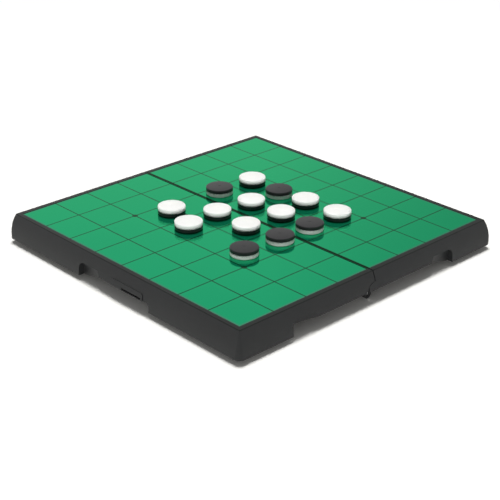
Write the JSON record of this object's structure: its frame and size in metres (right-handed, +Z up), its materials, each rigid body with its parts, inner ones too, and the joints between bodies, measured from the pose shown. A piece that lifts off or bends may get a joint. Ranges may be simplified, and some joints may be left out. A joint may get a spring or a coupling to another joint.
{
  "type": "reversi board game",
  "caption": "Folding magnetic reversi board: two moulded half cases hinged along the middle, green sheets with a printed grid, two-tone discs in play.",
  "frame": {"origin": "on the table, under the middle of the fold line and of the board", "axes": "+X runs along the fold, +Y from the front half to the back half, +Z up"},
  "size_m": [0.251, 0.2525, 0.0291],
  "materials": {
    "case_plastic": "satin charcoal plastic, finely textured",
    "field_green": "glossy green print on steel sheet",
    "field_print": "dark printed lines under the same gloss",
    "disc_white": "smooth warm white plastic",
    "disc_black": "satin black plastic",
    "magnet": "ferrite magnet, hidden inside each disc",
    "pin_steel": "bright steel pin"
  },
  "bodies": {
    "front_half": {"case_front": "case_plastic", "playing_sheet_front": "field_green", "grid_print_front": "field_print", "hinge_pin_left": "pin_steel", "hinge_pin_right": "pin_steel", "disc_02_white": "disc_white", "disc_02_black": "disc_black", "disc_02_magnet": "magnet", "disc_03_white": "disc_white", "disc_03_black": "disc_black", "disc_03_magnet": "magnet", "disc_04_white": "disc_white", "disc_04_black": "disc_black", "disc_04_magnet": "magnet", "disc_09_white": "disc_white", "disc_09_black": "disc_black", "disc_09_magnet": "magnet", "disc_13_white": "disc_white", "disc_13_black": "disc_black", "disc_13_magnet": "magnet", "disc_14_white": "disc_white", "disc_14_black": "disc_black", "disc_14_magnet": "magnet"},
    "back_half": {"case_back": "case_plastic", "playing_sheet_back": "field_green", "grid_print_back": "field_print", "disc_01_white": "disc_white", "disc_01_black": "disc_black", "disc_01_magnet": "magnet", "disc_05_white": "disc_white", "disc_05_black": "disc_black", "disc_05_magnet": "magnet", "disc_06_white": "disc_white", "disc_06_black": "disc_black", "disc_06_magnet": "magnet", "disc_07_white": "disc_white", "disc_07_black": "disc_black", "disc_07_magnet": "magnet", "disc_08_white": "disc_white", "disc_08_black": "disc_black", "disc_08_magnet": "magnet", "disc_10_white": "disc_white", "disc_10_black": "disc_black", "disc_10_magnet": "magnet", "disc_11_white": "disc_white", "disc_11_black": "disc_black", "disc_11_magnet": "magnet", "disc_12_white": "disc_white", "disc_12_black": "disc_black", "disc_12_magnet": "magnet"}
  },
  "joints": [
    {"name": "board_fold", "type": "hinge", "parent": "front_half", "child": "back_half", "pos_m": [0, 0, 0.00355], "axis": [-1, 0, 0], "range_deg": [0, 180]}
  ]
}
